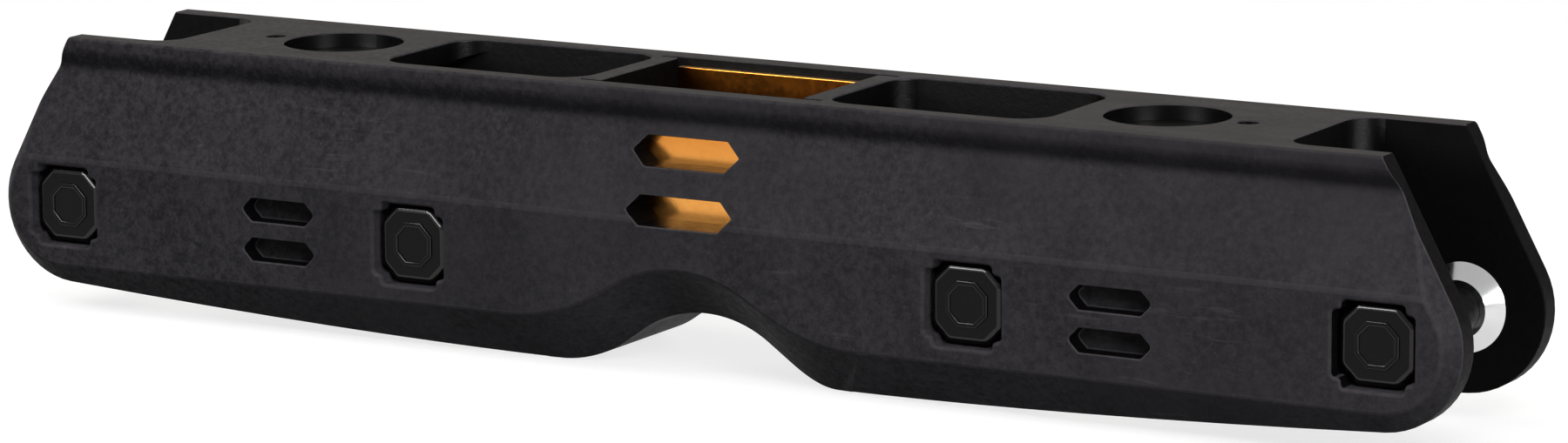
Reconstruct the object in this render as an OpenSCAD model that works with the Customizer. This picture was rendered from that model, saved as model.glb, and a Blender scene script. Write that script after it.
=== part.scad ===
// Inline skate frame: a one-piece body with a wheel channel, a bright centre brace,
// keyed axle sleeves, axle screws and conical wheel bushes.
// Millimetres. X runs along the frame, Y across it, Z up from the feet.

/* [Frame] */
// Length of the deck's top edge
deck_l = 260; // [244:1:280]
// Width across the deck's lips
deck_w = 37.6; // [36:0.2:41]
// Height from the feet to the top of the deck
frame_h = 49.8; // [49:0.1:56]
// Width across the upright lower faces
body_w = 43.6; // [42:0.2:48]
// Clear width between the walls
channel_w = 29; // [27:0.2:30]
// Thickness of the deck between the wheels
deck_t = 10; // [8:0.5:13]

/* [Side faces] */
// Height of the deck's outer lip
lip_h = 2.7; // [1.5:0.1:3.5]
// Depth of the cove under the lip
cove_depth = 1.6; // [0.5:0.1:2.2]
// Height of the cove from the lip to its deepest line
cove_h = 2.9; // [1.5:0.1:4]
// Radius of the cove
cove_r = 2.4; // [0.5:0.1:3]
// Radius along the lip's upper edge
lip_r = 0.6; // [0.2:0.1:1]
// Share of the lip's free height that rounds off into the cove
lip_soft = 0.55; // [0.1:0.05:0.8]
// Drop from the deck to the crease between the sloping and the upright faces
crease_drop = 22; // [16:0.5:26]

/* [Side outline] */
// How far the underside rises from the feet to the ends
end_lift = 4.5; // [2:0.1:6]
// Power of the underside's curve from the feet to the ends
under_power = 1.6; // [1.2:0.1:2.4]
// Height of the grind arch over the feet
arch_h = 10.2; // [9.2:0.1:13]
// Radius at the crown of the arch
arch_r = 22; // [16:0.5:26]
// Radius where the arch runs out into the feet
foot_r = 18; // [14:0.5:20]
// Steepest angle of the arch
arch_slope = 35; // [30:1:38]
// Width of the underside at the crown of the arch
arch_w = 24.4; // [22:0.2:28]
// Width of the under bevel at the crown of the arch
arch_bevel = 9.2; // [7:0.1:10]
// Width of the under bevel at the feet
foot_bevel = 8.6; // [7:0.1:9.4]
// Radius of the bevel's upper edge at the crown of the arch
bevel_arch_r = 25; // [18:0.5:28]
// Radius of the bevel's upper edge over the feet
bevel_foot_r = 37; // [25:0.5:40]
// Steepest angle of the bevel's upper edge
bevel_slope = 30; // [26:1:33]
// Width of the bevel under the ends
toe_bevel = 3.8; // [2.5:0.1:5]
// Width of the bevel along the end edges
end_bevel = 2.6; // [1.5:0.1:4]
// Wall left below the bevel at the feet
foot_land = 0.4; // [0.3:0.1:1.2]
// Wall left beside the bevel at the ends
end_land = 4.3; // [3.5:0.1:5.5]

/* [Axles] */
// Distance between the outer axles
wheelbase = 260; // [250:1:275]
// Distance between the inner axles
inner_base = 110.4; // [104:0.2:120]
// Height of the inner axles over the feet
axle_h = 18.6; // [17:0.1:20]
// How much higher the outer axles sit
axle_rise = 0.5; // [0:0.1:1]
// Diameter of the axle sleeves
axle_d = 8; // [6:0.1:8.5]
// Largest wheel that has room
wheel_d = 57; // [52:0.5:58]
// Room over the wheel
wheel_room = 1; // [0.5:0.1:1.5]
// Room between the inner wheels and the block over the arch
block_room = 2.8; // [2.7:0.1:3.2]
// Running clearance of the sleeves and screws, on the radius
run_fit = 0.05; // [0.02:0.01:0.1]

/* [Axle seats] */
// Width of the keyed seat in the near wall
seat_w = 14.6; // [14:0.1:16]
// Width of each arm of the keyed seat
seat_arm = 11.2; // [10.4:0.1:11.8]
// Depth of the seats in both walls
seat_depth = 5; // [4:0.1:5.4]
// Room round the heads in their seats
seat_gap = 0.3; // [0.2:0.1:1]
// Thickness of the keyed heads
head_t = 3.2; // [1.6:0.1:3.6]
// Room across the corners of the keyed heads
key_gap = 0.3; // [0.2:0.02:0.6]
// Width of the raised rim on the keyed heads
rim_w = 0.9; // [0.5:0.1:1.5]
// Height of the raised rim
rim_h = 0.3; // [0.1:0.1:0.4]
// Width across the raised rim
rim_size = 8; // [5:0.1:9]

/* [Axle screws] */
// Diameter of the screw
screw_d = 5; // [4:0.1:5.5]
// Length of the screw under its head
screw_l = 20; // [14:0.5:26]
// Diameter of the screw's head
screw_head_d = 12.8; // [11:0.1:13.4]
// Thickness of the screw's head
screw_head_t = 3; // [2.4:0.1:3.6]
// Width across the flats of the key socket
socket_w = 4; // [3:0.5:5]
// Depth of the key socket
socket_depth = 2; // [1:0.1:2.1]
// Gap from the sleeve's end to the screw's head
draw_gap = 0.4; // [0.2:0.1:0.8]
// Free depth past the screw's tip
tip_room = 1.4; // [0.6:0.1:3]

/* [Wheel bushes] */
// Diameter of the bush's flange at the wall
flange_d = 15.4; // [13.5:0.1:16]
// Diameter at the small end of the cone
cone_d = 10; // [9.4:0.1:11]
// Height of the cone over the wall
cone_h = 2.5; // [1.4:0.1:2.8]
// Height of the flange's straight edge
flange_edge = 0.3; // [0.1:0.1:0.6]
// Diameter of the bush's shank in the wall
shank_d = 11; // [9.6:0.1:12]
// Fit of the shank in the wall, on the radius
shank_fit = 0.02; // [0.01:0.01:0.05]
// How far the shank stops short of the seat
shank_short = 0.3; // [0.1:0.1:0.6]

/* [Deck openings] */
// Length of the centre window
window_l = 40.4; // [34:0.2:44]
// Thickness of the cross ribs beside the window
rib_t = 3.9; // [2.5:0.1:4.5]
// Depth of the relief grooves at the ends of the ribs, which clear the brace's corners
relief_depth = 2; // [1:0.1:4]
// Length of the pockets over the inner wheels
pocket_l = 41.7; // [36:0.1:44]
// Corner radius of the pockets
pocket_r = 6; // [3:0.5:9]
// Length of the end notches
notch_l = 19.5; // [14:0.5:22]
// Corner radius of the end notches
notch_r = 5; // [3:0.5:9]

/* [Boot mounting] */
// Distance between the boot bolts
bolt_base = 165; // [160:1:170]
// Diameter of the boot bolt holes
bolt_d = 6.5; // [5:0.1:8]
// Diameter of the recess over each bolt hole
recess_d = 21.6; // [16:0.2:24]
// Depth of the recess
recess_depth = 2.7; // [2:0.1:5.5]
// Diameter of the small locating holes
pin_d = 3.8; // [2:0.1:4]
// Distance between the locating holes
pin_base = 194.6; // [193:0.2:200]

/* [Centre brace] */
// Thickness of the brace's side plates
brace_t = 1.6; // [1:0.1:2.5]
// Thickness of the brace's floor
brace_floor = 2.5; // [1.5:0.1:4]
// How far the brace stops below the deck
brace_drop = 1.6; // [1:0.1:3]
// Fit of the brace in the window, each side
brace_fit = 0.05; // [0.02:0.01:0.15]
// Thickness of the block between the arch's crown and the brace
web_t = 4.7; // [3:0.1:6]

/* [Wall slots] */
// Length of the centre slots
slot_l = 21; // [12:0.2:26]
// Height of each centre slot
slot_h = 5.2; // [3:0.1:6.5]
// Wall left between the two centre slots
slot_gap = 4.8; // [3:0.1:6]
// Drop from the deck to the middle of the centre slots
slot_drop = 15.6; // [14:0.1:17]
// Length of the side slots
side_slot_l = 15.6; // [8:0.2:17]
// Height of each side slot
side_slot_h = 4.2; // [2.5:0.1:4.8]
// Wall left between the two side slots
side_slot_gap = 3; // [2:0.1:4]
// Distance between the side slots
side_slot_base = 165.4; // [160:0.2:176]
// Depth of the side slots, which stop part way into each wall
side_slot_depth = 3.6; // [1:0.1:5]

/* [Hidden] */
$fn = 64;
eps = 1;
// Steps along the arch's arcs, the underside and the end rounds
arch_n = 10;
under_n = 10;
end_n = 16;

// Axle centres, from one end of the frame to the other
axle_x = [-wheelbase / 2, -inner_base / 2, inner_base / 2, wheelbase / 2];
axle_z = [axle_h + axle_rise, axle_h, axle_h, axle_h + axle_rise];
end_x = wheelbase / 2;
end_z = axle_h + axle_rise;
end_r = end_z - end_lift;
reach = max(end_x + end_r, deck_l / 2) + 10;
wall_y = channel_w / 2;
seat_y = body_w / 2 - seat_depth;
rib_x = window_l / 2 + rib_t;
web_z = arch_h + web_t;
well_r = wheel_d / 2 + block_room;
block_x = inner_base / 2 - sqrt(well_r * well_r - axle_h * axle_h);
head_w = seat_w - 2 * seat_gap;
// Half of a corner flat's reach, so that the head's corners clear the seat's inner corners
key_sum = seat_arm - key_gap * sqrt(2);
sleeve_end = seat_y - draw_gap;
bore_end = seat_y - screw_l - tip_room;
slot_pitch = slot_h + slot_gap;
side_pitch = side_slot_h + side_slot_gap;
side_slot_y = body_w / 2 - side_slot_depth;
deep_y = deck_w / 2 - cove_depth;
deep_z = frame_h - lip_h - cove_h;
crease_z = frame_h - crease_drop;

// Points of an arc about c
function arc(c, r, a0, a1, n) =
  [for (i = [0:n]) let (a = a0 + (a1 - a0) * i / n) c + r * [cos(a), sin(a)]];

// Half of the angle at a polygon's corner p, between its neighbours a and b
function half_angle(a, p, b) = acos((a - p) * (b - p) / (norm(a - p) * norm(b - p))) / 2;

// A polygon's corner p rounded to radius r, between its neighbours a and b
function corner(a, p, b, r, n) =
  let (u = (a - p) / norm(a - p), v = (b - p) / norm(b - p))
  let (half = half_angle(a, p, b), m = (u + v) / norm(u + v))
  let (c = p + m * r / sin(half), s = p + u * r / tan(half) - c, e = p + v * r / tan(half) - c)
  let (a0 = atan2(s[1], s[0]), turn = atan2(s[0] * e[1] - s[1] * e[0], s * e))
  arc(c, r, a0, a0 + turn, n);

// Angle from +X to the normal of the line that runs from the point top to touch a circle
function lean(c, r, top) = atan2(top[1] - c[1], top[0] - c[0]) - acos(r / norm(top - c));

// Half of a side outline: crown of the arch, foot, underside, end round about c and end slope.
// The end slope runs on a little past the deck.
function side_half(crown, foot, r1, r2, slope, c, r, top) =
  let (run = (crown - foot - (r1 + r2) * (1 - cos(slope))) / sin(slope))
  let (fx = (r1 + r2) * sin(slope) + run * cos(slope))
  let (tilt = atan(under_power * (c[1] - r - foot) / (c[0] - fx)))
  let (t = c + r * [sin(tilt), -cos(tilt)], a = lean(c, r, top), q = c + r * [cos(a), sin(a)])
  concat(
    arc([0, crown - r1], r1, 90, 90 - slope, arch_n),
    arc([fx, foot + r2], r2, 270 - slope, 270, arch_n),
    [for (i = [1:under_n - 1]) let (s = pow(i / under_n, 1.5))
      [fx + s * (t[0] - fx), foot + pow(s, under_power) * (t[1] - foot)]],
    arc(c, r, tilt - 90, a, end_n),
    [top + 2 * eps * (top - q) / norm(top - q)]);

// A half list and its mirror image as one closed ring
function ring(h) = concat(h, [for (i = [len(h) - 1:-1:1]) [-h[i][0], h[i][1]]]);
function clamp(v) = min(max(v, 0), 1);

end_c = [end_x, end_z];
deck_end = [deck_l / 2, frame_h];
face_top = deck_end - [end_bevel / cos(lean(end_c, end_r, deck_end)), 0];
full_half = side_half(arch_h, 0, arch_r, foot_r, arch_slope, end_c, end_r, deck_end);
face_half = side_half(arch_h + arch_bevel, foot_bevel, bevel_arch_r, bevel_foot_r, bevel_slope,
  end_c + [toe_bevel - end_bevel, 0], end_r - toe_bevel, face_top);
full_ring = ring(full_half);
face_ring = ring(face_half);
// Half width left under the bevel: it widens over the feet and on to the ends
foot_x = full_half[arch_n + 1][0];
land_half = [for (i = [0:len(full_half) - 1])
  let (x = full_half[i][0], t = clamp((x - foot_x) / (block_x - foot_x)), over_foot = t * t * (3 - 2 * t))
  let (to_end = i > 2 * arch_n + under_n ? 1 : clamp((x - block_x) / (end_x - block_x)))
  arch_w / 2 + over_foot * (wall_y + foot_land - arch_w / 2) + to_end * (end_land - foot_land)];
land_ring = concat(land_half, [for (i = [len(land_half) - 1:-1:1]) land_half[i]]);

module along_y(y0, y1) translate([0, y1, 0]) rotate([90, 0, 0]) linear_extrude(y1 - y0) children();

module rod_y(d, y0, y1) translate([0, y1, 0]) rotate([90, 0, 0]) cylinder(d = d, h = y1 - y0);

module long_hex(l, h) polygon([[-l / 2, 0], [h / 2 - l / 2, -h / 2], [l / 2 - h / 2, -h / 2],
  [l / 2, 0], [l / 2 - h / 2, h / 2], [h / 2 - l / 2, h / 2]]);

module octagon(w, sum) polygon([for (q = [0:3], k = [0, 1])
  let (a = w / 2, b = sum - w / 2, p = k == 0 ? [a, b] : [b, a], c = [1, 0, -1, 0][q], s = [0, 1, 0, -1][q])
  [c * p[0] - s * p[1], s * p[0] + c * p[1]]]);

module round_rect(x0, x1, w, r) {
  translate([x0 + r, -w / 2]) square([x1 - x0 - 2 * r, w]);
  translate([x0, r - w / 2]) square([x1 - x0, w - 2 * r]);
  for (x = [x0 + r, x1 - r], y = [r - w / 2, w / 2 - r]) translate([x, y]) circle(r);
}

// Side outline with its bevels, right across the frame
module bevelled_side() {
  n = len(full_ring);
  pts = concat(
    [for (p = face_ring) [p[0], -body_w / 2, p[1]]],
    [for (i = [0:n - 1]) [full_ring[i][0], -land_ring[i], full_ring[i][1]]],
    [for (i = [0:n - 1]) [full_ring[i][0], land_ring[i], full_ring[i][1]]],
    [for (p = face_ring) [p[0], body_w / 2, p[1]]],
    [[0, -body_w / 2, frame_h], [0, body_w / 2, frame_h]]);
  sides = [for (k = [0:2], i = [0:n - 1], h = [0, 1])
    let (j = (i + 1) % n, a = k * n + i, b = k * n + j, c = a + n, d = b + n)
    h == 0 ? [a, b, d] : [a, d, c]];
  caps = [for (i = [0:n - 1], h = [0, 1])
    let (j = (i + 1) % n)
    h == 0 ? [4 * n, j, i] : [4 * n + 1, 3 * n + i, 3 * n + j]];
  polyhedron(pts, concat(sides, caps));
}

// Lip, cove and sloping face, along the whole frame
module side_section() {
  slope = [body_w / 2 - deep_y, crease_z - deep_z];
  low = [body_w / 2, crease_z] + slope * 0.2;
  lip = [deck_w / 2, frame_h];
  under = [deck_w / 2, frame_h - lip_h];
  deep = [deep_y, deep_z];
  cove_run = cove_r / tan(half_angle(under, deep, low));
  under_run = lip_soft * min(lip_h - lip_r, norm(under - deep) - cove_run);
  half = concat(
    corner([0, frame_h], lip, under, lip_r, 4),
    corner(lip, under, deep, under_run * tan(half_angle(lip, under, deep)), 4),
    corner(under, deep, low, cove_r, 6),
    [low, [low[0], -eps]]);
  rotate([90, 0, 90]) linear_extrude(2 * reach, center = true)
    polygon(concat(half, [for (i = [len(half) - 1:-1:0]) [-half[i][0], half[i][1]]]));
}

module wheel_channel() {
  for (s = [0, 180]) rotate(s) {
    translate([rib_x, -wall_y, axle_h]) cube([reach - rib_x, channel_w, frame_h - deck_t - axle_h]);
    translate([inner_base / 2, -wall_y, -eps]) cube([reach - inner_base / 2, channel_w, axle_h + 2 * eps]);
    intersection() {
      translate([rib_x, -wall_y - eps, -eps]) cube([reach, channel_w + 2 * eps, axle_h + 2 * eps]);
      translate([axle_x[2], 0, axle_z[2]]) rod_y(2 * well_r, -wall_y, wall_y);
    }
    intersection() {
      translate([rib_x, -wall_y - eps, axle_h]) cube([reach, channel_w + 2 * eps, frame_h + wheel_d]);
      for (i = [2, 3]) translate([axle_x[i], 0, axle_z[i]])
        rod_y(wheel_d + 2 * wheel_room, -wall_y, wall_y);
    }
  }
}

module deck_openings() {
  translate([-window_l / 2, -wall_y, web_z]) cube([window_l, channel_w, frame_h]);
  for (s = [0, 180]) rotate(s) translate([0, 0, frame_h - deck_t - eps]) linear_extrude(deck_t + 2 * eps) {
    round_rect(rib_x, rib_x + pocket_l, channel_w, pocket_r);
    round_rect(deck_l / 2 - notch_l, reach, channel_w, notch_r);
  }
  for (s = [0, 180]) rotate(s) translate([-rib_x, wall_y - brace_t - brace_fit, frame_h - relief_depth])
    cube([2 * rib_x, brace_t + brace_fit, relief_depth + eps]);
}

module boot_holes() {
  for (s = [-1, 1]) {
    translate([s * bolt_base / 2, 0, frame_h - recess_depth]) cylinder(d = recess_d, h = recess_depth + eps);
    translate([s * bolt_base / 2, 0, 0]) cylinder(d = bolt_d, h = frame_h);
    translate([s * pin_base / 2, 0, 0]) cylinder(d = pin_d, h = frame_h + eps);
  }
}

module axle_seats() {
  for (i = [0:3]) translate([axle_x[i], 0, axle_z[i]]) {
    along_y(-body_w / 2 - eps, -seat_y) {
      square([seat_w, seat_arm], center = true);
      square([seat_arm, seat_w], center = true);
    }
    rod_y(screw_head_d + 2 * seat_gap, seat_y, body_w / 2 + eps);
    rod_y(shank_d + 2 * shank_fit, -seat_y - eps, seat_y + eps);
  }
}

module wall_slots() {
  for (s = [-0.5, 0.5]) {
    translate([0, 0, frame_h - slot_drop + s * slot_pitch])
      along_y(-body_w, body_w) long_hex(slot_l, slot_h);
    for (x = [-side_slot_base / 2, side_slot_base / 2]) translate([x, 0, axle_h + s * side_pitch]) {
      along_y(-body_w, -side_slot_y) long_hex(side_slot_l, side_slot_h);
      along_y(side_slot_y, body_w) long_hex(side_slot_l, side_slot_h);
    }
  }
}

// One-piece body: two walls, deck, cross ribs and the block over the arch
module frame_body() color("#2a2a2c") difference() {
  intersection() {
    side_section();
    bevelled_side();
  }
  wheel_channel();
  deck_openings();
  boot_holes();
  axle_seats();
  wall_slots();
}

// Channel-section brace that fills the centre window and stands on the block over the arch
module centre_brace() color("#b98a2e") {
  l = window_l - 2 * brace_fit;
  w = channel_w - 2 * brace_fit;
  z0 = web_z;
  difference() {
    translate([-l / 2, -w / 2, z0]) cube([l, w, frame_h - brace_drop - z0]);
    translate([-l, brace_t - w / 2, z0 + brace_floor]) cube([2 * l, w - 2 * brace_t, frame_h]);
  }
}

// Axle sleeve with an eight-sided head in the near wall's keyed seat
module axle_sleeve(i) color("#161617") translate([axle_x[i], 0, axle_z[i]]) difference() {
  union() {
    along_y(-seat_y - head_t, -seat_y) octagon(head_w, key_sum);
    along_y(-seat_y - head_t - rim_h, -seat_y - head_t) difference() {
      octagon(rim_size, rim_size * 0.72);
      octagon(rim_size - 2 * rim_w, (rim_size - 2 * rim_w) * 0.72);
    }
    rod_y(axle_d, -seat_y, sleeve_end);
  }
  rod_y(screw_d + 2 * run_fit, bore_end, sleeve_end + eps);
}

// Screw that draws the sleeve up from the far wall
module axle_screw(i) color("#2c2c2e") translate([axle_x[i], 0, axle_z[i]]) difference() {
  union() {
    rod_y(screw_head_d, seat_y, seat_y + screw_head_t);
    rod_y(screw_d, seat_y - screw_l, seat_y);
  }
  translate([0, seat_y + screw_head_t + eps, 0]) rotate([90, 0, 0])
    cylinder(d = socket_w / cos(30), h = socket_depth + eps, $fn = 6);
}

// Bush with a conical nose for the wheel's bearing, pressed into a wall from inside
module wheel_bush(i, side) color("#c9cbce") translate([axle_x[i], 0, axle_z[i]]) rotate([side * 90, 0, 0])
  rotate_extrude() polygon([[axle_d / 2 + run_fit, wall_y - cone_h], [cone_d / 2, wall_y - cone_h],
    [flange_d / 2, wall_y - flange_edge], [flange_d / 2, wall_y], [shank_d / 2, wall_y],
    [shank_d / 2, seat_y - shank_short], [axle_d / 2 + run_fit, seat_y - shank_short]]);

frame_body();
centre_brace();
axle_sleeve(0);  // axle_sleeve_1
axle_sleeve(1);  // axle_sleeve_2
axle_sleeve(2);  // axle_sleeve_3
axle_sleeve(3);  // axle_sleeve_4
axle_screw(0);  // axle_screw_1
axle_screw(1);  // axle_screw_2
axle_screw(2);  // axle_screw_3
axle_screw(3);  // axle_screw_4
wheel_bush(0, 1);  // bush_near_1
wheel_bush(1, 1);  // bush_near_2
wheel_bush(2, 1);  // bush_near_3
wheel_bush(3, 1);  // bush_near_4
wheel_bush(0, -1);  // bush_far_1
wheel_bush(1, -1);  // bush_far_2
wheel_bush(2, -1);  // bush_far_3
wheel_bush(3, -1);  // bush_far_4
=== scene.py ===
"""Inline skate frame: looks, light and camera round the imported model.

Metres, in the frame of the solids: X along the frame, Y across it, Z up from the feet.
"""
import math

import bmesh
import bpy
from mathutils import Matrix, Vector


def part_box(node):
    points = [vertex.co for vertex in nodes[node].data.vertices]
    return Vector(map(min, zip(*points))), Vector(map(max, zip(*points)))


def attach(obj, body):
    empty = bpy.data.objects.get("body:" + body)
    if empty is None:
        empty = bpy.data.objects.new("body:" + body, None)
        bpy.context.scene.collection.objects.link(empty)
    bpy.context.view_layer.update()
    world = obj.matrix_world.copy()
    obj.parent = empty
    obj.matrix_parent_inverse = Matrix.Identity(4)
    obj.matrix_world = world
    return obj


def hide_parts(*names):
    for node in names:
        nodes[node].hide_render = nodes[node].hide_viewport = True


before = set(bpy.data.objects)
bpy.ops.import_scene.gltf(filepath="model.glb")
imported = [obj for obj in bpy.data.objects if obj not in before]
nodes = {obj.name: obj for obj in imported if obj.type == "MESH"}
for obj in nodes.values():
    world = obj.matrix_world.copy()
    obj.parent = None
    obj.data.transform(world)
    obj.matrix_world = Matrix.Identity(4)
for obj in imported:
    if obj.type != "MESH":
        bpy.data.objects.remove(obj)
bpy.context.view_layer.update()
MM = 0.001
AXLE_NUMBERS = (1, 2, 3, 4)

# The body: the deck's top, the walls' outer and inner faces, and the crease along the walls
DECK_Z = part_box("frame_body")[1].z
BODY_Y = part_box("frame_body")[1].y
CHANNEL_Y = 14.5 * MM
CREASE_Z = DECK_Z - 22 * MM
# Planes across the frame, through its openings, that part wide flat faces so that none has a hole in it
PARTED_X = [s * x * MM for x in (0.7, 54.6, 82.6, 97.0, 128.9) for s in (-1, 1)]
# Openings of the deck: their lowest reach, the window, the pockets, the grooves at the ribs, the round recesses
# and the pin holes
OPENING_Z = 39 * MM
WINDOW_X = 21 * MM
POCKET_START_X, POCKET_END_X = 23.5 * MM, 68 * MM
GROOVE_X, GROOVE_Y = 24.5 * MM, 12 * MM
RECESS_X, RECESS_R = 82.5 * MM, 10.8 * MM
PIN_X, PIN_R = 97.3 * MM, 1.9 * MM
# Reach along the frame of the long inner walls between the recesses
LONG_WALL_X = 83 * MM
# Where the end notches and the walls' sawn ends begin, and the lower inner edges beyond the arch
NOTCH_X, SAWN_X = 116 * MM, 118 * MM
FOOT_X, FOOT_Z = 36 * MM, 20 * MM
# Reach of the slots in the walls' thickness, and of the cove under the lip
SLOT_X, SLOT_LOW_Z, SLOT_HIGH_Z = 138.5 * MM, 9 * MM, 44 * MM
COVE_Y, COVE_LOW_Z, COVE_HIGH_Z = 16.5 * MM, 43.2 * MM, 47.6 * MM
# How much painted shade darkens the cove, for a face that looks straight down
COVE_SHADE = 1.6
# Axles, with the depth and reach of their seats, and the heads' least reach and raised rim
AXLES = [sum(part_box(f"axle_sleeve_{k}"), Vector()) / 2 for k in AXLE_NUMBERS]
SEAT_Y, SEAT_R = BODY_Y - 5 * MM, 10.5 * MM
HEAD_R, RIM_H = 6 * MM, 0.3 * MM
# Slack in placing an edge or a face, and the depth of a rounded rim that keeps the deck's own finish
EXACT, SNUG, LOOSE, ROUNDED = 0.05 * MM, 0.1 * MM, 0.3 * MM, 0.35 * MM
# The part of a normal along an axis past which a face looks that way, from hardly to squarely, and the part of it
# along Z below which a face is upright
HARDLY, LEANS, TURNED, FACES, LEVEL, SQUARE = 0.02, 0.3, 0.5, 0.9, 0.95, 0.99
UPRIGHT = 0.6
# Distances at which points are one, before and after a mesh is parted, and at which they lie on a parting plane
MERGED, PARTED_MERGED, ON_PLANE = 0.001 * MM, 0.002 * MM, 0.0001 * MM
# Turn in degrees below which two faces are one flat face
FLAT_TURN = 0.3


def feed(tree, value, socket):
    """Sets a socket to a plain number, or links another socket to it."""
    if isinstance(value, (int, float)):
        socket.default_value = value
    else:
        tree.links.new(value, socket)


def reckon(tree, operation, a, b):
    """One math node on sockets or numbers."""
    n = tree.nodes.new("ShaderNodeMath")
    n.operation = operation
    feed(tree, a, n.inputs[0])
    feed(tree, b, n.inputs[1])
    return n.outputs["Value"]


def plus(tree, a, b):
    """Two values added."""
    return reckon(tree, "ADD", a, b)


def times(tree, a, b):
    """Two values multiplied."""
    return reckon(tree, "MULTIPLY", a, b)


def larger(tree, a, b):
    """The larger of two values."""
    return reckon(tree, "MAXIMUM", a, b)


def ramp(tree, value, low, high, to_low=0.0, to_high=1.0):
    """A value mapped from one range to another and held inside it."""
    n = tree.nodes.new("ShaderNodeMapRange")
    n.clamp = True
    feed(tree, value, n.inputs["Value"])
    for label, number in (("From Min", low), ("From Max", high), ("To Min", to_low), ("To Max", to_high)):
        n.inputs[label].default_value = number
    return n.outputs["Result"]


def tint(tree, factor, low, high):
    """A colour that runs from low to high with a factor."""
    n = tree.nodes.new("ShaderNodeMix")
    n.data_type = "RGBA"
    feed(tree, factor, n.inputs["Factor"])
    n.inputs["A"].default_value = (*low, 1)
    n.inputs["B"].default_value = (*high, 1)
    return n.outputs["Result"]


def noise(tree, vector, scale, detail=2.0, roughness=0.5):
    """A noise texture on a vector, with its scale in waves to the unit."""
    n = tree.nodes.new("ShaderNodeTexNoise")
    feed(tree, vector, n.inputs["Vector"])
    for label, number in (("Scale", scale), ("Detail", detail), ("Roughness", roughness)):
        n.inputs[label].default_value = number
    return n.outputs["Fac"]


def stretched(tree, vector, scale):
    """A vector stretched by a Mapping node."""
    n = tree.nodes.new("ShaderNodeMapping")
    n.inputs["Scale"].default_value = scale
    feed(tree, vector, n.inputs["Vector"])
    return n.outputs["Vector"]


def part_of(tree, vector, axis):
    """The X, Y or Z of a vector."""
    n = tree.nodes.new("ShaderNodeSeparateXYZ")
    feed(tree, vector, n.inputs["Vector"])
    return n.outputs[axis]


def group(name, values, outputs):
    """A shader node group on a vector, with named values in and out, and its input and output nodes."""
    tree = bpy.data.node_groups.new(name, "ShaderNodeTree")
    tree.interface.new_socket("Vector", in_out="INPUT", socket_type="NodeSocketVector")
    for label, number in values.items():
        socket = tree.interface.new_socket(label, in_out="INPUT", socket_type="NodeSocketFloat")
        socket.default_value = number
    for label in outputs:
        tree.interface.new_socket(label, in_out="OUTPUT", socket_type="NodeSocketFloat")
    return tree, tree.nodes.new("NodeGroupInput"), tree.nodes.new("NodeGroupOutput")


def make_moulded_grain():
    """Fine moulded grain, cloudy mottling with light flecks, and sparse scuffs along the frame."""
    tree, into, out = group("moulded_grain", {"Grain": 1.0}, ("Height", "Mottle", "Scuffs"))
    v = into.outputs["Vector"]
    # Shares of each layer in the height and in the mottling, and the mottling's middle
    fine_share, pebble_share = 0.4, 0.6
    speck_share, fleck_share, cloud_share, middle = 0.62, 0.45, 0.3, 0.45

    fine, pebble = noise(tree, v, 2400.0, detail=3.0, roughness=0.6), noise(tree, v, 820.0)
    grain = plus(tree, times(tree, fine, fine_share), times(tree, pebble, pebble_share))
    feed(tree, times(tree, grain, into.outputs["Grain"]), out.inputs["Height"])

    # The specks fade from one end of the frame to the other, and in patches
    fade = ramp(tree, part_of(tree, v, "X"), -120 * MM, 130 * MM, 1.0, 0.35)
    uneven = plus(tree, fade, ramp(tree, noise(tree, v, 22.0, detail=1.0), 0.35, 0.65, -0.25, 0.35))
    speck = ramp(tree, noise(tree, v, 760.0, detail=3.0, roughness=0.75), 0.34, 0.66, -0.5, 0.5)
    fleck = ramp(tree, noise(tree, v, 1000.0, detail=1.0), 0.68, 0.78)
    specks = times(tree, plus(tree, times(tree, speck, speck_share), times(tree, fleck, fleck_share)), uneven)
    cloud = ramp(tree, noise(tree, v, 75.0, detail=4.0, roughness=0.6), 0.3, 0.7, -0.5, 0.5)
    mottle = plus(tree, times(tree, cloud, cloud_share), plus(tree, specks, middle))
    feed(tree, mottle, out.inputs["Mottle"])

    streak = noise(tree, stretched(tree, v, (70, 420, 640)), 1.0, detail=3.0, roughness=0.7)
    patch = ramp(tree, noise(tree, v, 30.0), 0.48, 0.66)
    feed(tree, times(tree, ramp(tree, streak, 0.6, 0.78), patch), out.inputs["Scuffs"])
    return tree


def make_turned_rings():
    """Fine rings left by turning about the Y axis, and a cloudy smear."""
    tree, into, out = group("turned_rings", {}, ("Height", "Smear"))
    v = into.outputs["Vector"]
    feed(tree, noise(tree, stretched(tree, v, (140, 5200, 140)), 1.0), out.inputs["Height"])
    feed(tree, noise(tree, v, 260.0, detail=3.0), out.inputs["Smear"])
    return tree


GRAIN = make_moulded_grain()
RINGS = make_turned_rings()
# The span of the mottling, and of the smear, over which roughness runs
MOTTLED, SMEARED = (0.1, 0.9), (0.3, 0.7)


def material(name, **constants):
    """A Principled material with its plain values set on the shader's own sockets."""
    m = bpy.data.materials.new(name)
    m.use_nodes = True
    tree = m.node_tree
    shader = tree.nodes["Principled BSDF"]
    for label, value in constants.items():
        shader.inputs[label.replace("_", " ")].default_value = value
    coords = tree.nodes.new("ShaderNodeTexCoord")
    return m, tree, shader, coords.outputs["Object"]


def place(tree, node_group, vector):
    """A node group placed in a material's tree, on a vector."""
    n = tree.nodes.new("ShaderNodeGroup")
    n.node_tree = node_group
    feed(tree, vector, n.inputs["Vector"])
    return n


def bump(tree, shader, height, strength, distance):
    """A Bump node that feeds the shader's normal."""
    n = tree.nodes.new("ShaderNodeBump")
    n.inputs["Strength"].default_value = strength
    n.inputs["Distance"].default_value = distance
    feed(tree, height, n.inputs["Height"])
    feed(tree, n.outputs["Normal"], shader.inputs["Normal"])


def wear_and_painted_light(tree):
    """The mark kept on the piece's faces: how rubbed a softened edge is, which on the body also paints a paler
    highlight, and below zero the cove's painted shade.
    """
    n = tree.nodes.new("ShaderNodeAttribute")
    n.attribute_name = "rub_and_painted_light"
    return n.outputs["Fac"]


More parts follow.
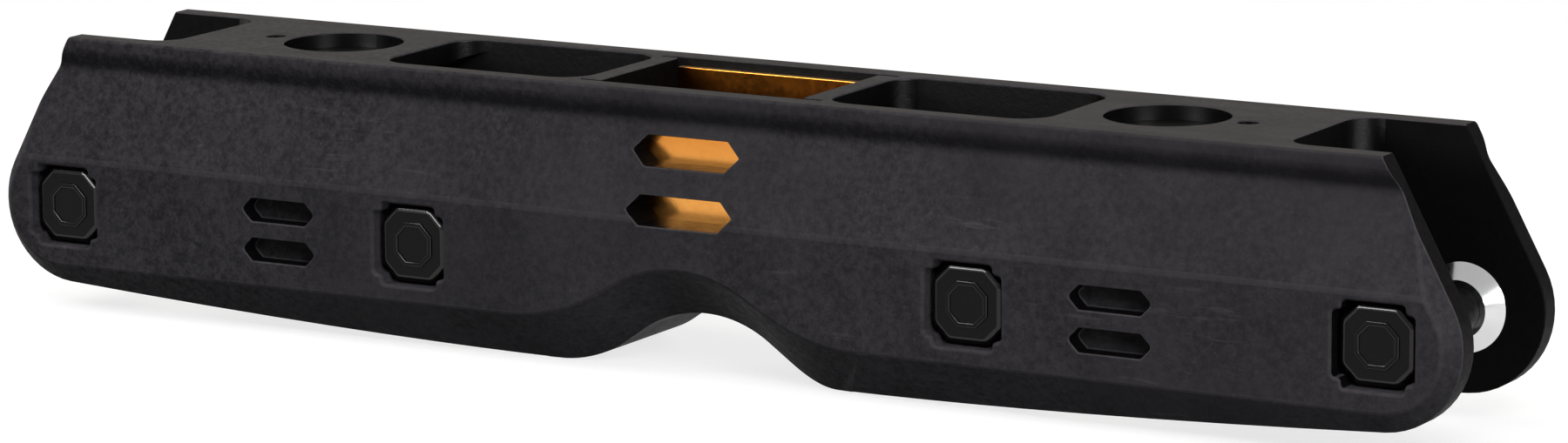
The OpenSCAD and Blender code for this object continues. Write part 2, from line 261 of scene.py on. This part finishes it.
def scuffs_and_painted_light(tree, v, grain):
    """Mottling with scuffs, paler on rubbed edges, which is wear and a painted highlight, and darker under the
    lip with painted shade.
    """
    shade = plus(tree, times(tree, grain.outputs["Mottle"], 0.8), grain.outputs["Scuffs"])
    return plus(tree, shade, times(tree, wear_and_painted_light(tree), 0.4))


def streaked(tree, v, grain):
    """Soft mottling with faint streaks along the frame."""
    streak = noise(tree, stretched(tree, v, (35, 260, 260)), 1.0, detail=4.0, roughness=0.65)
    soft = ramp(tree, grain.outputs["Mottle"], -0.1, 1.0, 0.0, 0.5)
    return plus(tree, soft, ramp(tree, streak, 0.3, 0.7, 0.0, 0.5))


def painted_shade_below(tree, v, grain):
    """Mottling that dies away with the depth in an opening: painted shade, darker the deeper it lies."""
    fade = ramp(tree, part_of(tree, v, "Z"), 30 * MM, 44 * MM, 0.3, 1.0)
    return times(tree, plus(tree, grain.outputs["Mottle"], 0.2), fade)


def painted_shade_above(tree, v, grain):
    """Faint mottling, with a darker, deeper colour painted near the brace's top edges as shade and gold-to-gold
    reflection.
    """
    pale = ramp(tree, part_of(tree, v, "Z"), 36 * MM, 44 * MM, 0.6, 0.0)
    return plus(tree, times(tree, grain.outputs["Mottle"], 0.3), pale)


def finish(name, colours, roughness, relief, depth, grain=1.0, shade=None, **constants):
    """A Principled material on the moulded grain.

    Colour and roughness run from the first of two values to the second with the mottling, or the colour with
    what shade makes of it. relief and depth are the strength and the distance of the grain's bump.
    """
    m, tree, shader, v = material(name, **constants)
    g = place(tree, GRAIN, v)
    g.inputs["Grain"].default_value = grain
    mottle = g.outputs["Mottle"]
    feed(tree, tint(tree, shade(tree, v, g) if shade else mottle, *colours), shader.inputs["Base Color"])
    feed(tree, ramp(tree, mottle, *MOTTLED, *roughness), shader.inputs["Roughness"])
    bump(tree, shader, g.outputs["Height"], relief, depth)
    return m


def gloss_black():
    """Gloss black of the axle sleeves, with a bright polish on the rubbed edges of their heads."""
    m = finish("gloss_black", ((0.0022, 0.0022, 0.0024), (0.0046, 0.0046, 0.0048)), (0.3, 0.22),
               relief=0.02, depth=0.06 * MM, Specular_IOR_Level=0.1, Coat_Roughness=0.12)
    tree = m.node_tree
    feed(tree, times(tree, wear_and_painted_light(tree), 0.5), tree.nodes["Principled BSDF"].inputs["Coat Weight"])
    return m


def polished_steel():
    """Turned and polished steel of the wheel bushes."""
    m, tree, shader, v = material("polished_steel", Metallic=1.0)
    r = place(tree, RINGS, v)
    smear = r.outputs["Smear"]
    feed(tree, tint(tree, smear, (0.62, 0.62, 0.63), (0.78, 0.78, 0.79)), shader.inputs["Base Color"])
    feed(tree, ramp(tree, smear, *SMEARED, 0.16, 0.26), shader.inputs["Roughness"])
    bump(tree, shader, r.outputs["Height"], 0.06, 0.04 * MM)
    return m


# Matte black moulded plastic of the body
MOULDED = finish("moulded_black", ((0.0177, 0.0165, 0.0183), (0.0600, 0.0573, 0.0630)), (0.68, 0.5),
                 relief=0.4, depth=0.14 * MM, shade=scuffs_and_painted_light, Specular_IOR_Level=0.025)
# The deck's flat top: the same plastic, worn smoother and a little warmer
DECK = finish("deck_black", ((0.0220, 0.0208, 0.0201), (0.0460, 0.0435, 0.0421)), (0.62, 0.48),
              relief=0.3, depth=0.12 * MM, grain=0.7, shade=streaked, Specular_IOR_Level=0.04)
# The same plastic near black with a soft gloss where a cutter has been: in the bores of the deck, and in the
# round corners of its pockets and notches, where the near black is also painted shade
CUTTER_AND_SHADE_BLACKS = (0.0007, 0.0007, 0.0007), (0.0018, 0.0017, 0.0017)
BORED = finish("bored_black", CUTTER_AND_SHADE_BLACKS, (0.28, 0.24),
               relief=0.3, depth=0.03 * MM, grain=0.4, Specular_IOR_Level=0.5)
MILLED = finish("milled_black", CUTTER_AND_SHADE_BLACKS, (0.36, 0.32),
                relief=0.3, depth=0.2 * MM, grain=1.4, Specular_IOR_Level=0.28)
# Its long cut walls in the pockets and the window: rough, and painted darker the deeper they lie, as shade
CUT = finish("cut_black", ((0.0008, 0.0008, 0.0008), (0.0110, 0.0107, 0.0108)), (0.5, 0.36),
             relief=0.5, depth=0.16 * MM, grain=1.2, shade=painted_shade_below, Specular_IOR_Level=0.06)
# The plain dark inside of the channel, the openings' flat ends, the slots' sides and the walls' sawn ends: near
# black, in part a darker finish and in part painted shade
INNER = finish("inner_black", ((0.0008, 0.0008, 0.0008), (0.0042, 0.0041, 0.0041)), (0.6, 0.42),
               relief=0.35, depth=0.12 * MM, Specular_IOR_Level=0.04)
GLOSS = gloss_black()
# Blackened steel of the axle screws
SCREW = finish("screw_black", ((0.045, 0.045, 0.048), (0.085, 0.085, 0.09)), (0.46, 0.32),
               relief=0.15, depth=0.06 * MM, Metallic=1.0)
# Gold anodised aluminium of the centre brace, and its sawn top edges, rough and sparkling
# The gold is painted darker and deeper near the brace's top edges, as shade and reflection of gold in gold
GOLD = finish("gold_satin", ((0.54, 0.160, 0.014), (0.79, 0.37, 0.09)), (0.24, 0.16),
              relief=0.2, depth=0.08 * MM, grain=0.7, shade=painted_shade_above, Metallic=1.0)
GOLD_CUT = finish("gold_cut", ((0.5, 0.25, 0.07), (0.95, 0.66, 0.34)), (0.5, 0.2),
                  relief=0.9, depth=0.4 * MM, grain=1.6, Metallic=1.0)
STEEL = polished_steel()
BODY_FINISHES = (MOULDED, CUT, INNER, DECK, BORED, MILLED)


def solid_of(node, parted=()):
    """A merged copy of a node's mesh, with its flat faces whole again between planes across X."""
    bm = bmesh.new()
    bm.from_mesh(nodes[node].data)
    bm.faces.layers.float.new("rub_and_painted_light")
    bmesh.ops.remove_doubles(bm, verts=bm.verts, dist=MERGED)
    for x in parted:
        everything = bm.verts[:] + bm.edges[:] + bm.faces[:]
        cut = bmesh.ops.bisect_plane(bm, geom=everything, dist=ON_PLANE, plane_co=(x, 0, 0), plane_no=(1, 0, 0))
        for g in cut["geom_cut"]:
            if isinstance(g, bmesh.types.BMEdge):
                g.seam = True
    bmesh.ops.remove_doubles(bm, verts=bm.verts, dist=PARTED_MERGED)
    bmesh.ops.dissolve_limit(bm, angle_limit=math.radians(FLAT_TURN), verts=bm.verts, edges=bm.edges,
                             delimit={"SEAM"})
    for f in bm.faces:
        f.material_index = 0
    bm.normal_update()
    return bm


def anywhere(e, p):
    """All edges."""
    return True


def soften(bm, where, turn, width, segments, rub_and_painted_light=0.0):
    """Rounds the edges of a place that turn by more than an angle in degrees, and marks how rubbed they are; on
    the body the mark also paints them paler as a highlight.
    """
    edges = [e for e in bm.edges
             if e.calc_face_angle(0) > math.radians(turn) and where(e, (e.verts[0].co + e.verts[1].co) / 2)]
    made = bmesh.ops.bevel(bm, geom=edges, offset=width, offset_type="OFFSET", segments=segments, profile=0.5,
                           affect="EDGES", clamp_overlap=False, material=-1)
    mark = bm.faces.layers.float["rub_and_painted_light"]
    for f in made["faces"]:
        f[mark] = rub_and_painted_light
    bm.normal_update()


def piece(bm, name, body, replaced, materials, smooth=35):
    """A bmesh, held inside its node's box, made into a piece that rides on a body and stands for the node.

    Edges that turn by less than smooth, in degrees, are shaded smooth.
    """
    low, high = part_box(replaced)
    for v in bm.verts:
        v.co = [min(max(a, b), c) for a, b, c in zip(v.co, low, high)]
    bm.normal_update()
    for f in bm.faces:
        f.smooth = True
    for e in bm.edges:
        e.smooth = len(e.link_faces) == 2 and e.calc_face_angle() < math.radians(smooth)
    mesh = bpy.data.meshes.new(name)
    bm.to_mesh(mesh)
    bm.free()
    for m in materials:
        mesh.materials.append(m)
    obj = bpy.data.objects.new(name, mesh)
    bpy.context.scene.collection.objects.link(obj)
    even = obj.modifiers.new("even_normals", "WEIGHTED_NORMAL")
    even.keep_sharp = True
    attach(obj, body)
    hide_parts(replaced)
    return obj


def at_axle(p):
    """Whether a point lies in or round an axle's seat."""
    return any(math.hypot(p.x - a.x, p.z - a.z) < SEAT_R for a in AXLES)


def seat_corner(e, p):
    """Corners of the keyed seats in the near wall, which run across it."""
    along = (e.verts[1].co - e.verts[0].co).normalized()
    return abs(along.y) > SQUARE and p.y < -SEAT_Y and p.z < CREASE_Z and e.calc_length() > 2 * MM


def seat_rim(e, p):
    """Rims of the axles' seats, on the walls' outer faces."""
    return abs(abs(p.y) - BODY_Y) < SNUG and at_axle(p)


def wall_crease(e, p):
    """The crease along the walls, where the sloping face meets the upright one."""
    return abs(p.z - CREASE_Z) < LOOSE and abs(abs(p.y) - BODY_Y) < LOOSE


def outer_edge(e, p):
    """Edges between two faces of a wall's outside."""
    if abs(p.y) < CHANNEL_Y + 2 * LOOSE:
        return False
    return all(abs(f.normal.y) > LEANS for f in e.link_faces)


def pocket_rim(e, p):
    """Rims of the two long pockets, on the deck's top, apart from the grooves at the ribs."""
    if p.z < DECK_Z - 2 * SNUG or abs(p.y) > CHANNEL_Y + SNUG:
        return False
    groove = abs(p.x) < GROOVE_X and abs(p.y) > GROOVE_Y
    return POCKET_START_X < abs(p.x) < POCKET_END_X and not groove


def in_sight(e, p):
    """Edges outside the channel, on the deck, in the end notches, and low on the walls beyond the arch."""
    if abs(p.y) > CHANNEL_Y + 4 * SNUG or p.z > DECK_Z - 2 * SNUG or abs(p.x) > NOTCH_X:
        return True
    return p.z < FOOT_Z and abs(p.x) > FOOT_X


def body_finish(c, n):
    """The finish of a face of the body, from its centre and its normal."""
    inside = abs(c.y) < CHANNEL_Y + SNUG and c.z < DECK_Z - ROUNDED
    in_opening = inside and c.z > OPENING_Z and abs(n.z) < UPRIGHT
    in_recess = math.hypot(abs(c.x) - RECESS_X, c.y) < RECESS_R + SNUG
    in_pin_hole = math.hypot(abs(c.x) - PIN_X, c.y) < PIN_R + SNUG
    # The near blacks chosen here stand in part for painted shade: in the openings, the channel, the slots and at
    # the sawn ends
    if in_opening and (in_recess or in_pin_hole):
        return BORED
    if inside and abs(n.y) > FACES and abs(c.x) < LONG_WALL_X:
        return CUT
    if in_opening and abs(c.x) > WINDOW_X and abs(n.x) < SQUARE:
        return MILLED
    sawn = abs(c.x) > SAWN_X and n.x * math.copysign(1, c.x) > TURNED and abs(n.y) < LEANS
    in_wall = CHANNEL_Y < abs(c.y) < BODY_Y - LOOSE and SLOT_LOW_Z < c.z < SLOT_HIGH_Z and abs(c.x) < SLOT_X
    if inside or sawn or (in_wall and abs(n.y) < LEANS and not at_axle(c)):
        return INNER
    if n.z > LEVEL and c.z > DECK_Z - EXACT:
        return DECK
    return MOULDED


def body_shell():
    """The moulded body with its edges softened."""
    bm = solid_of("frame_body", PARTED_X)
    # Softened edges on the body are marked paler: wear, and a painted highlight along them
    soften(bm, seat_corner, turn=60, width=0.8 * MM, segments=4)
    soften(bm, seat_rim, turn=60, width=0.6 * MM, segments=4, rub_and_painted_light=0.5)
    soften(bm, wall_crease, turn=12, width=0.55 * MM, segments=4, rub_and_painted_light=0.6)
    soften(bm, outer_edge, turn=25, width=0.45 * MM, segments=3, rub_and_painted_light=0.5)
    soften(bm, pocket_rim, turn=60, width=0.5 * MM, segments=4, rub_and_painted_light=0.6)
    soften(bm, in_sight, turn=32, width=0.25 * MM, segments=3, rub_and_painted_light=1.0)
    rub_and_painted_light = bm.faces.layers.float["rub_and_painted_light"]
    for f in bm.faces:
        c, n = f.calc_center_median(), f.normal
        f.material_index = BODY_FINISHES.index(body_finish(c, n))
        # The cove gets a mark below zero, painted shade that is darker the more it looks down
        if abs(c.y) > COVE_Y and COVE_LOW_Z < c.z < COVE_HIGH_Z and n.z < -HARDLY:
            f[rub_and_painted_light] = COVE_SHADE * n.z
    return piece(bm, "body_shell", "frame", "frame_body", BODY_FINISHES)


def brace_shell():
    """The gold channel in the centre window."""
    bm = solid_of("centre_brace")
    sawn_z = max(v.co.z for v in bm.verts) - 0.25 * MM
    soften(bm, anywhere, turn=32, width=0.2 * MM, segments=2)
    for f in bm.faces:
        if f.normal.z > TURNED and f.calc_center_median().z > sawn_z:
            f.material_index = 1
    return piece(bm, "brace_shell", "frame", "centre_brace", (GOLD, GOLD_CUT))


def sleeve_shell(k):
    """An axle sleeve with its eight-sided head, rounded at the corners and round its face."""
    node = f"axle_sleeve_{k}"
    low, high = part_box(node)
    axle_x, axle_z = (low.x + high.x) / 2, (low.z + high.z) / 2
    face_y = low.y + RIM_H
    # Parted just beside the axle, so that no flat face has the bore as a hole in it
    bm = solid_of(node, [axle_x + 0.3 * MM])

    def on_head(p):
        """Whether a point lies out on the head."""
        return math.hypot(p.x - axle_x, p.z - axle_z) > HEAD_R

    def corner(e, p):
        """The head's eight corners."""
        return on_head(p) and abs(e.verts[0].co.y - e.verts[1].co.y) > 1 * MM

    def face_edge(e, p):
        """The edge round the head's face."""
        return on_head(p) and abs(p.y - face_y) < EXACT

    def rim(e, p):
        """The raised rim on the face."""
        return p.y < face_y - EXACT

    soften(bm, corner, turn=30, width=0.8 * MM, segments=4)
    soften(bm, face_edge, turn=40, width=1.3 * MM, segments=8, rub_and_painted_light=1.0)
    soften(bm, rim, turn=40, width=0.2 * MM, segments=3, rub_and_painted_light=1.0)
    return piece(bm, f"sleeve_shell_{k}", f"sleeve_{k}", node, (GLOSS,))


def screw_shell(k):
    """An axle screw with a hexagon socket."""
    node = f"axle_screw_{k}"
    bm = solid_of(node)
    soften(bm, anywhere, turn=40, width=0.25 * MM, segments=2)
    return piece(bm, f"screw_shell_{k}", f"screw_{k}", node, (SCREW,))


def bush_shell(side, k):
    """A conical wheel bush."""
    node = f"bush_{side}_{k}"
    bm = solid_of(node)
    return piece(bm, f"bush_shell_{side}_{k}", "frame", node, (STEEL,), smooth=25)


body_shell()
brace_shell()
for k in AXLE_NUMBERS:
    sleeve_shell(k)
    screw_shell(k)
    bush_shell("near", k)
    bush_shell("far", k)

# Even light from all round, for diffuse rays alone
FILL = 0.1
# How bright the backdrop is in reflections, level with the frame and high above it, and where these begin
MIRRORED_LOW, MIRRORED_HIGH = 0.3, 0.6
LEVEL_WITH_FRAME, HIGH_ABOVE = 0.05, 0.6
# The floor's reach, and how far it lies under the feet
FLOOR_REACH, FLOOR_DROP = 6.0, 0.3 * MM
# Its own glow round the frame, the pale part of it that takes the shadow, and its grey in bounced light
FLOOR_GLOW, FLOOR_PALE, FLOOR_BOUNCE = 0.76, 0.28, 0.04
# How far from the middle the shadowed floor begins and ends its change to plain white
WHITE_FROM, WHITE_TO = 0.2, 0.42
WHITE = (1.0, 1.0, 1.0)
# Lamps that light matte surfaces: name, place, height aimed at, width, height, watts, colour
MATTE_LAMPS = (
    ("top_light", (-0.2, -0.1, 0.95), 0.02, 1.3, 0.5, 5.6, (1.0, 0.96, 0.9)),
    ("top_left_light", (-0.7, -0.35, 0.75), 0.03, 0.5, 0.5, 5, WHITE),
    ("front_light", (0.6, -0.6, 0.65), 0.03, 0.4, 0.4, 5.9, (1.0, 0.98, 1.0)),
    ("low_right_light", (0.9, -0.35, 0.1), 0.03, 0.3, 0.16, 3, WHITE),
    ("back_light", (0.1, 0.9, 0.32), 0.03, 1.2, 0.4, 7, WHITE),
)
# Lamps that show in gloss alone, in the same order
GLOSS_LAMPS = (
    ("front_strip", (-0.34, -0.94, 0.27), 0.04, 0.5, 0.2, 6.2, WHITE),
    ("right_strip", (0.92, -0.39, 0.27), 0.04, 0.4, 0.2, 4.8, WHITE),
    ("glint_light", (-0.6, -0.85, 0.65), 0.03, 0.25, 0.25, 2.4, WHITE),
)
# The camera's direction and roll, and its eye from the deck's middle to the right, up and back, in millimetres
AZIMUTH, ELEVATION, ROLL = math.radians(30.0), math.radians(10.94), math.radians(-0.42)
EYE_RIGHT, EYE_UP, EYE_BACK = 7.66, -25.05, 1043.19
# The photograph's width and the camera's focal length in its pixels
PHOTO_WIDTH, FOCAL_LENGTH = 1800, 6917.52


def studio_world():
    """A backdrop that is white to the camera and pale grey in reflections, and a low even fill for the rest."""
    world = bpy.data.worlds.new("studio")
    bpy.context.scene.world = world
    world.use_nodes = True
    tree = world.node_tree
    back = tree.nodes["Background"]
    path = tree.nodes.new("ShaderNodeLightPath")
    seen = larger(tree, path.outputs["Is Camera Ray"], path.outputs["Is Transmission Ray"])
    coords = tree.nodes.new("ShaderNodeTexCoord")
    height = part_of(tree, coords.outputs["Generated"], "Z")
    grey = ramp(tree, height, LEVEL_WITH_FRAME, HIGH_ABOVE, MIRRORED_LOW, MIRRORED_HIGH)
    shown = larger(tree, seen, times(tree, path.outputs["Is Glossy Ray"], grey))
    feed(tree, larger(tree, shown, FILL), back.inputs["Strength"])
    back.inputs["Color"].default_value = (1, 1, 1, 1)


def white_glow(tree, strength):
    """A white emission."""
    n = tree.nodes.new("ShaderNodeEmission")
    n.inputs["Strength"].default_value = strength
    return n.outputs[0]


def matte_grey(tree, grey):
    """A plain matte grey."""
    n = tree.nodes.new("ShaderNodeBsdfDiffuse")
    n.inputs["Color"].default_value = (grey, grey, grey, 1)
    return n.outputs[0]


def blended(tree, factor, low, high):
    """Two shaders blended by a factor."""
    n = tree.nodes.new("ShaderNodeMixShader")
    for k, socket in enumerate((factor, low, high)):
        feed(tree, socket, n.inputs[k])
    return n.outputs[0]


def floor_white():
    """White to the camera, glossy and transmission rays, with the frame's shadow, and grey to the rest."""
    m = bpy.data.materials.new("pale_floor")
    m.use_nodes = True
    tree = m.node_tree
    tree.nodes.remove(tree.nodes["Principled BSDF"])
    shadowed = tree.nodes.new("ShaderNodeAddShader")
    feed(tree, white_glow(tree, FLOOR_GLOW), shadowed.inputs[0])
    feed(tree, matte_grey(tree, FLOOR_PALE), shadowed.inputs[1])
    coords = tree.nodes.new("ShaderNodeTexCoord")
    reach = tree.nodes.new("ShaderNodeVectorMath")
    reach.operation = "LENGTH"
    feed(tree, coords.outputs["Object"], reach.inputs[0])
    away = ramp(tree, reach.outputs["Value"], WHITE_FROM, WHITE_TO)
    white = blended(tree, away, shadowed.outputs[0], white_glow(tree, 1.0))
    path = tree.nodes.new("ShaderNodeLightPath")
    seen = larger(tree, path.outputs["Is Camera Ray"], path.outputs["Is Glossy Ray"])
    seen = larger(tree, seen, path.outputs["Is Transmission Ray"])
    surface = blended(tree, seen, matte_grey(tree, FLOOR_BOUNCE), white)
    feed(tree, surface, tree.nodes["Material Output"].inputs["Surface"])
    return m


def pale_floor():
    """A plain pale floor under the feet."""
    bm = bmesh.new()
    bmesh.ops.create_grid(bm, x_segments=1, y_segments=1, size=FLOOR_REACH)
    mesh = bpy.data.meshes.new("floor")
    bm.to_mesh(mesh)
    bm.free()
    mesh.materials.append(floor_white())
    obj = bpy.data.objects.new("floor", mesh)
    obj.location.z = -FLOOR_DROP
    bpy.context.scene.collection.objects.link(obj)


def soft_light(name, spot, aim_z, width, height, watts, colour, in_gloss):
    """An area lamp that looks at the frame, and either lights matte surfaces or shows in gloss."""
    lamp = bpy.data.lights.new(name, "AREA")
    lamp.shape = "RECTANGLE"
    lamp.size, lamp.size_y = width, height
    lamp.energy = watts
    lamp.color = colour
    obj = bpy.data.objects.new(name, lamp)
    obj.location = spot
    obj.visible_diffuse, obj.visible_glossy = not in_gloss, in_gloss
    obj.rotation_mode = "QUATERNION"
    obj.rotation_quaternion = (Vector((0, 0, aim_z)) - Vector(spot)).to_track_quat("-Z", "Y")
    bpy.context.scene.collection.objects.link(obj)


def photo_camera():
    """A camera at the photograph's viewing angle."""
    flat = math.cos(ELEVATION)
    back = Vector((math.sin(AZIMUTH) * flat, -math.cos(AZIMUTH) * flat, math.sin(ELEVATION)))
    right = Vector((math.cos(AZIMUTH), math.sin(AZIMUTH), 0))
    up = back.cross(right)
    right, up = (math.cos(ROLL) * right + math.sin(ROLL) * up, math.cos(ROLL) * up - math.sin(ROLL) * right)
    eye = (right * EYE_RIGHT + up * EYE_UP + back * EYE_BACK) * MM + Vector((0, 0, DECK_Z))
    lens = bpy.data.cameras.new("photo_camera")
    lens.sensor_width = 36.0
    lens.lens = FOCAL_LENGTH / PHOTO_WIDTH * lens.sensor_width
    lens.clip_start, lens.clip_end = 0.01, 30
    obj = bpy.data.objects.new("photo_camera", lens)
    turn = Matrix((right, up, back)).transposed().to_4x4()
    turn.translation = eye
    obj.matrix_world = turn
    bpy.context.scene.collection.objects.link(obj)
    bpy.context.scene.camera = obj


studio_world()
pale_floor()
for lamp in MATTE_LAMPS:
    soft_light(*lamp, in_gloss=False)
for lamp in GLOSS_LAMPS:
    soft_light(*lamp, in_gloss=True)
photo_camera()
bpy.context.scene.view_settings.view_transform = "Standard"
bpy.context.view_layer.update()
